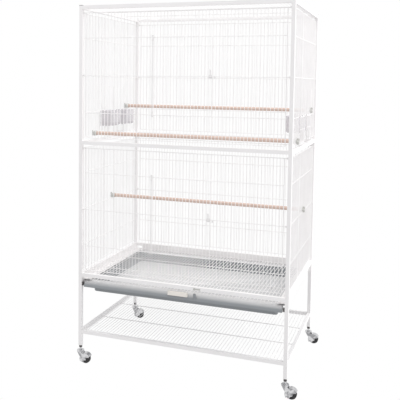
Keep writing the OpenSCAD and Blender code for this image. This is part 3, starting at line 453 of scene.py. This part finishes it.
# ---------------------------------------------------------------- feeder doors with a finger ledge
# leaf above its two rows, its edge wire and the ends of its uprights; the ledge from foot and face
LEAF_LOW, LEAF_HIGH, FEED_EDGE_R, FEED_WIRE_IN = 1.5, 0.5, 1.1, 1
LEDGE_OUT, LEDGE_HALF, LEDGE_FROM, LEDGE_TO = 5.4, 8, 0.2, 2.2
for side_name, s, end, f in FEEDERS:
    leaf = Build()
    lo, hi = TOP_Z - ROWS[FEED_FOOT] + LEAF_LOW, TOP_Z - ROWS[FEED_HEAD] + LEAF_HIGH
    y0, y1 = -IN_Y + f * PY, -IN_Y + (f + FEED_N) * PY
    x = s * FEED_X
    leaf.path([(x, y0, lo + FEED_EDGE_R), (x, y1, lo + FEED_EDGE_R),
               (x, y1, hi - FEED_EDGE_R), (x, y0, hi - FEED_EDGE_R)], FEED_EDGE_R, closed=True)
    for k in range(1, FEED_N):
        leaf.path([(x, y0 + k * PY, lo + FEED_WIRE_IN), (x, y0 + k * PY, hi - FEED_WIRE_IN)], LEAF_WIRE_R)
    leaf.path([(x, y0, (lo + hi) / 2), (x, y1, (lo + hi) / 2)], LEAF_WIRE_R)
    mid = (y0 + y1) / 2
    leaf.box((x, mid - LEDGE_HALF, lo + LEDGE_FROM), (x + s * LEDGE_OUT, mid + LEDGE_HALF, lo + LEDGE_TO))
    leaf.done(f"leaf_feeder_door_{side_name}_{end}", WIRE, f"feeder_{side_name}_{end}",
              "white_wire_coat", f"feeder_door_{side_name}_{end}")

# wire guides over the edges of the feeder doors, bent back to the panel at both ends:
# how far they stand out and aside and run past the rows, and how foot, run and head lean aside
GUIDE_R, GUIDE_OUT, GUIDE_GAP, GUIDE_LOW, GUIDE_HIGH = 0.6, 6.0, 1.2, 0.3, 95.5
FOOT_ASIDE, RUN_ASIDE, HEAD_ASIDE, GUIDE_BEND = -1.5, -0.4, 1.0, 2.5
guides = Build()
for s in (-1, 1):
    for f in FEED:
        for t, y in ((-1, -IN_Y + f * PY - GUIDE_GAP), (1, -IN_Y + (f + FEED_N) * PY + GUIDE_GAP)):
            z0, z1 = TOP_Z - ROWS[FEED_FOOT] - GUIDE_LOW, TOP_Z - ROWS[FEED_HEAD] + GUIDE_HIGH
            wall, out = s * WALL_OUT, s * (WALL_OUT + GUIDE_OUT)
            guides.path([(wall, y + FOOT_ASIDE * t, z0), (out, y + FOOT_ASIDE * t, z0),
                         (out, y + RUN_ASIDE * t, z0 + GUIDE_BEND), (out, y + RUN_ASIDE * t, z1 - GUIDE_BEND),
                         (out, y + HEAD_ASIDE * t, z1), (wall, y + HEAD_ASIDE * t, z1)], GUIDE_R)
guides.done("wire_feeder_guides", WIRE, "cage", node_slot["feeder_guides"], "feeder_guides")

# ---------------------------------------------------------------- cups
# gap behind a cup, room beside it in its opening, brim above the cross wire, height
CUP_GAP, CUP_ASIDE, CUP_RISE, CUP_H = 0.5, 2.3, 1.4 + 2.1, 60
# rings up the outside: (depth, height, growth all round, corner radius)
CUP_OUTSIDE = ((38, 0, -1.5, 5.0), (41, 1.5, 0.0, 5.0), (47.2, 14, 0.0, 5.0), (47.6, 54, 0.0, 5.0),
               (47.6, 56.5, 0.0, 5.0), (48, 57, 0.0, 5.2), (48, CUP_H, 0.0, 5.2))
# wall and floor, and the inside's share of the outside in depth and width
CUP_T, INSIDE_DEEP, INSIDE_WIDE, FLOOR_T = 1.6, 0.93, 0.955, 4
# divider between the two pockets: from and to in depth, half its thickness, from and to in height
DIVIDER_X, DIVIDER_HALF, DIVIDER_Z = (2, 46), 0.8, (3, 57)
# hooks: places in wire spaces, half their width, the strap over the wire and the drop outside it
HOOKS, HOOK_HALF, HOOK_TOP = (1.5, 5.5), 3, 0.1
STRAP_OUT, STRAP_LOW = 1.0, 1.9
DROP_FROM, DROP_TO, DROP_LOW = 0.5, 1.9, 7.8

for side_name, s, end, f in FEEDERS:
    cup = Build()
    top = TOP_Z - ROWS[FEED_HEAD] + CUP_RISE
    low = top - CUP_H
    back = POST_X - PANEL_HALF - CUP_GAP
    w = FEED_N * PY - 2 * CUP_ASIDE
    cy = -IN_Y + f * PY + CUP_ASIDE + w / 2
    outside = []
    for depth, h, grow, r in CUP_OUTSIDE:
        half = (depth + grow) / 2
        ring = rounded(back - half, cy, half, w / 2 + grow, r, low + h)
        outside.append([(s * px, py, pz) for px, py, pz in ring])
    cup.loft(outside, True, False)
    brim = outside[-1]
    inside = [(back * s + (px - back * s) * INSIDE_DEEP - s * CUP_T, cy + (py - cy) * INSIDE_WIDE, pz)
              for px, py, pz in brim]
    cup.loft([brim, inside, [(px, py, low + FLOOR_T) for px, py, pz in inside]], False, True)
    cup.box((s * (back - DIVIDER_X[0]), cy - DIVIDER_HALF, low + DIVIDER_Z[0]),
            (s * (back - DIVIDER_X[1]), cy + DIVIDER_HALF, low + DIVIDER_Z[1]))
    for q in HOOKS:
        y = -IN_Y + (f + q) * PY
        cup.box((s * (back - CUP_T), y - HOOK_HALF, top - STRAP_LOW),
                (s * (WALL_OUT + STRAP_OUT), y + HOOK_HALF, top - HOOK_TOP))
        cup.box((s * (WALL_OUT + DROP_FROM), y - HOOK_HALF, top - DROP_LOW),
                (s * (WALL_OUT + DROP_TO), y + HOOK_HALF, top - HOOK_TOP))
    cup.done(f"double_cup_{side_name}_{end}", CUP, f"cup_body_{side_name}_{end}",
             "cup_plastic", f"cup_{side_name}_{end}")

# ---------------------------------------------------------------- tray with a rolled front edge
TRAY_FRONT, TRAY_BACK, TRAY_X = -259.5, IN_Y - 4.0, 372.0
LIP_R, FLANGE_Z, PAN_Z, SHEET_T = 21.0, 313.0, 268.0, 1.5
LIP_Y, LIP_TURN = TRAY_FRONT + LIP_R, range(0, 91, 6)
# pan wall in from the tray's front and sides, its lean, and where the flange meets the lip
PAN_FRONT, PAN_SIDE, PAN_LEAN = 36.0, 22.0, 1.5
FLANGE_FRONT = 20.5
# lip ends: (distance in from the tray's side, less radius); the sheet of the lip runs to END_IN
END_IN = 0.9
LIP_END = ((1.6, 0.0), (END_IN, 0.0), (0.3, 0.4), (0.0, 1.2))
# tab in front of the lip, under the catch: (x from its middle, height) and its two faces
CATCH_SPACE = 33.5
TAB = ((-5, 297.0), (5, 297.0), (5, 316.6), (4.2, 318.4),
       (2.4, 319.2), (-2.4, 319.2), (-4.2, 318.4), (-5, 316.6))
TAB_Y = (-259.4, -257.6)


def tray_ring(inset_front, inset, r, z):
    y0, y1 = TRAY_FRONT + inset_front, TRAY_BACK - inset
    return rounded(0, (y0 + y1) / 2, TRAY_X - inset, (y1 - y0) / 2, r, z)


def wall_ring(inner, foot, r, z):
    """Ring of the pan wall, which leans out by PAN_LEAN on its way up to the flange."""
    inset = inner + foot - PAN_LEAN * (z - PAN_Z) / (FLANGE_Z - PAN_Z)
    return tray_ring(PAN_FRONT + inset, PAN_SIDE + inset, r, z)


def lip_arc(x, r, angles):
    turns = [math.radians(a) for a in angles]
    return [(x, LIP_Y - r * math.sin(t), FLANGE_Z - LIP_R + r * math.cos(t)) for t in turns]


def lip_ring(x):
    return lip_arc(x, LIP_R, LIP_TURN) + lip_arc(x, LIP_R - SHEET_T, reversed(LIP_TURN))


def lip_plate(x, r):
    return [(x, LIP_Y, FLANGE_Z - LIP_R)] + lip_arc(x, r, LIP_TURN)


# up the inside of the pan, over the flange and down the outside
tray = Build()
tray.loft([
    wall_ring(SHEET_T, 5.0, 10, PAN_Z + SHEET_T), wall_ring(SHEET_T, 1.2, 12, PAN_Z + SHEET_T + 1.2),
    wall_ring(SHEET_T, 0.0, 13, PAN_Z + SHEET_T + 4.5), wall_ring(SHEET_T, 0.0, 14, FLANGE_Z - 2.5),
    wall_ring(SHEET_T, -0.5, 14, FLANGE_Z - 0.8), wall_ring(0.2, 0.0, 15, FLANGE_Z),
    tray_ring(FLANGE_FRONT, 0.6, 3, FLANGE_Z), tray_ring(FLANGE_FRONT, 0.0, 3, FLANGE_Z - 0.6),
    tray_ring(FLANGE_FRONT, 0.3, 3, FLANGE_Z - SHEET_T), wall_ring(0.0, 0.0, 15, FLANGE_Z - SHEET_T),
    wall_ring(0.0, 0.0, 14, FLANGE_Z - 3.5), wall_ring(0.0, 0.0, 13, PAN_Z + 3.8),
    wall_ring(0.0, 1.5, 12, PAN_Z + 0.6), wall_ring(0.0, 6.0, 10, PAN_Z)])
tray.loft([lip_ring(-TRAY_X + END_IN), lip_ring(TRAY_X - END_IN)])
for s in (-1, 1):
    tray.loft([lip_plate(s * (TRAY_X - d), LIP_R - less) for d, less in LIP_END])
catch_x = -GRILLE_X + CATCH_SPACE * GRILLE_P
tray.loft([[(catch_x + d, y, z) for d, z in TAB] for y in TAB_Y])
tray.done("rolled_tray", TRAY, "tray_body", "tray_plastic", "tray", bevel=0.25)

# ---------------------------------------------------------------- perch caps and wing knobs
# (distance out, radius): the cap inside the wires from its face, the knob from the outside of the wires
CAP_FACE = POST_X - PANEL_HALF - 3.0
CAP = ((-12, 1.8), (-8, 7.1), (-8, 8.6), (-7.4, 9.1), (0, 9.4), (2.4, 9.5), (3, 9.2), (3, 1.9))
KNOB_STEM = ((0, 1.9), (0, 6.6), (0.4, 7.0), (1.6, 7.0), (2.0, 6.6), (2.4, 4.4), (7.4, 3.7),
             (8.2, 2.9), (8.25, 0.4))
# (distance out, half thickness, reach) along a wing, and where every wing starts
WING = ((1.2, 1.3, 9.6), (3.0, 1.3, 10.8), (6.0, 1.2, 11.0), (8.6, 1.0, 9.8), (9.6, 0.6, 8.0))
WING_ROOT, WING_EASE, KNOB_SIDES = 3.2, 0.8, 28

fittings = Build()
turned = [(CAP_FACE + d, r) for d, r in CAP] + [(WALL_OUT + d, r) for d, r in KNOB_STEM]
for spaces, cz in PERCHES:
    cy = -IN_Y + spaces * PY
    for s in (-1, 1):
        fittings.loft([[(s * x, cy + c, cz + w) for c, w in circle(r, KNOB_SIDES)] for x, r in turned])
        for t in (-1, 1):
            rings = []
            for d, half_t, reach in WING:
                edge = ((-1, WING_ROOT), (-1, reach - WING_EASE), (-0.5, reach),
                        (0.5, reach), (1, reach - WING_EASE), (1, WING_ROOT))
                rings.append([(s * (WALL_OUT + d), cy + half_t * w, cz + t * h) for w, h in edge])
            fittings.loft(rings)
fittings.done("caps_and_wing_knobs", KNOB, "cage", node_slot["perch_fittings"], "perch_fittings")

# ---------------------------------------------------------------- camera at the photo's viewpoint
PICTURE, PRINCIPAL_X, PRINCIPAL_Y, FOCAL = 400, 181.5, 125.4, 646.6  # in pixels of the photo
CAMERA_X, CAMERA_Y, CAMERA_Z = 764.2, -2365.7, 1050.4
YAW, PITCH, ROLL = math.radians(-19.77), math.radians(-3.66), math.radians(0.74)
SENSOR = 36
forward = Vector((math.sin(YAW) * math.cos(PITCH), math.cos(YAW) * math.cos(PITCH), math.sin(PITCH)))
level_right = Vector((math.cos(YAW), -math.sin(YAW), 0))
level_up = level_right.cross(forward)
right = level_right * math.cos(ROLL) + level_up * math.sin(ROLL)
up = -level_right * math.sin(ROLL) + level_up * math.cos(ROLL)
cam = bpy.data.cameras.new("photo_camera")
cam.sensor_width = SENSOR
cam.lens = FOCAL / PICTURE * SENSOR
cam.shift_x = (PICTURE / 2 - PRINCIPAL_X) / PICTURE
cam.shift_y = (PRINCIPAL_Y - PICTURE / 2) / PICTURE
cam_obj = bpy.data.objects.new("photo_camera", cam)
basis = Matrix((right, up, -forward)).transposed().to_4x4()
basis.translation = Vector(((CAMERA_X + SHIFT) * MM, CAMERA_Y * MM, CAMERA_Z * MM))
cam_obj.matrix_world = basis
scene = bpy.context.scene
scene.collection.objects.link(cam_obj)
scene.camera = cam_obj


# ---------------------------------------------------------------- studio
def area(name, where, target, size, watts):
    light = bpy.data.lights.new(name, "AREA")
    light.shape = "RECTANGLE"
    light.size, light.size_y = size
    light.energy = watts
    obj = bpy.data.objects.new(name, light)
    obj.location = where
    obj.rotation_euler = (Vector(target) - Vector(where)).to_track_quat("-Z", "Y").to_euler()
    scene.collection.objects.link(obj)


area("overhead", (0.3, -0.3, 3.2), (0, 0, 0.9), (2.6, 2.0), 34)
area("right_side", (2.9, 0.3, 1.7), (0, 0, 0.8), (2.0, 2.2), 30)
area("front_left", (-2.0, -2.8, 1.6), (0, 0, 0.8), (1.8, 2.2), 6)

# surroundings that light the cage: brighter above, to the right and behind;
# plain white where the camera looks past the cage, and in what steel and plastic reflect or let through
LIGHT_LEAN, LIGHT_LEVEL = (0.18, 0.14, 0.15), 0.9
world = bpy.data.worlds.new("studio")
scene.world = world
world.use_nodes = True
world.node_tree.nodes.clear()
new, join = world.node_tree.nodes.new, world.node_tree.links.new
w_out = new("ShaderNodeOutputWorld")
lit = new("ShaderNodeBackground")
seen = new("ShaderNodeBackground")
mix = new("ShaderNodeMixShader")
ray = new("ShaderNodeLightPath")
direction = new("ShaderNodeTexCoord")
lean = new("ShaderNodeVectorMath")
lean.operation = "DOT_PRODUCT"
lean.inputs[1].default_value = LIGHT_LEAN
strength = new("ShaderNodeMath")
strength.operation = "ADD"
strength.inputs[1].default_value = LIGHT_LEVEL
lit.inputs["Color"].default_value = (0.985, 0.985, 1.0, 1)
seen.inputs["Color"].default_value = (1, 1, 1, 1)
seen.inputs["Strength"].default_value = 1.0
join(direction.outputs["Generated"], lean.inputs[0])
join(lean.outputs["Value"], strength.inputs[0])
join(strength.outputs["Value"], lit.inputs["Strength"])


def either(first, second):
    pick = new("ShaderNodeMath")
    pick.operation = "MAXIMUM"
    join(first, pick.inputs[0])
    join(second, pick.inputs[1])
    return pick.outputs["Value"]


reflected = either(ray.outputs["Is Glossy Ray"], ray.outputs["Is Transmission Ray"])
join(either(ray.outputs["Is Camera Ray"], reflected), mix.inputs["Fac"])
join(lit.outputs["Background"], mix.inputs[1])
join(seen.outputs["Background"], mix.inputs[2])
join(mix.outputs["Shader"], w_out.inputs["Surface"])

scene.view_settings.view_transform = "Standard"

low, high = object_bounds()
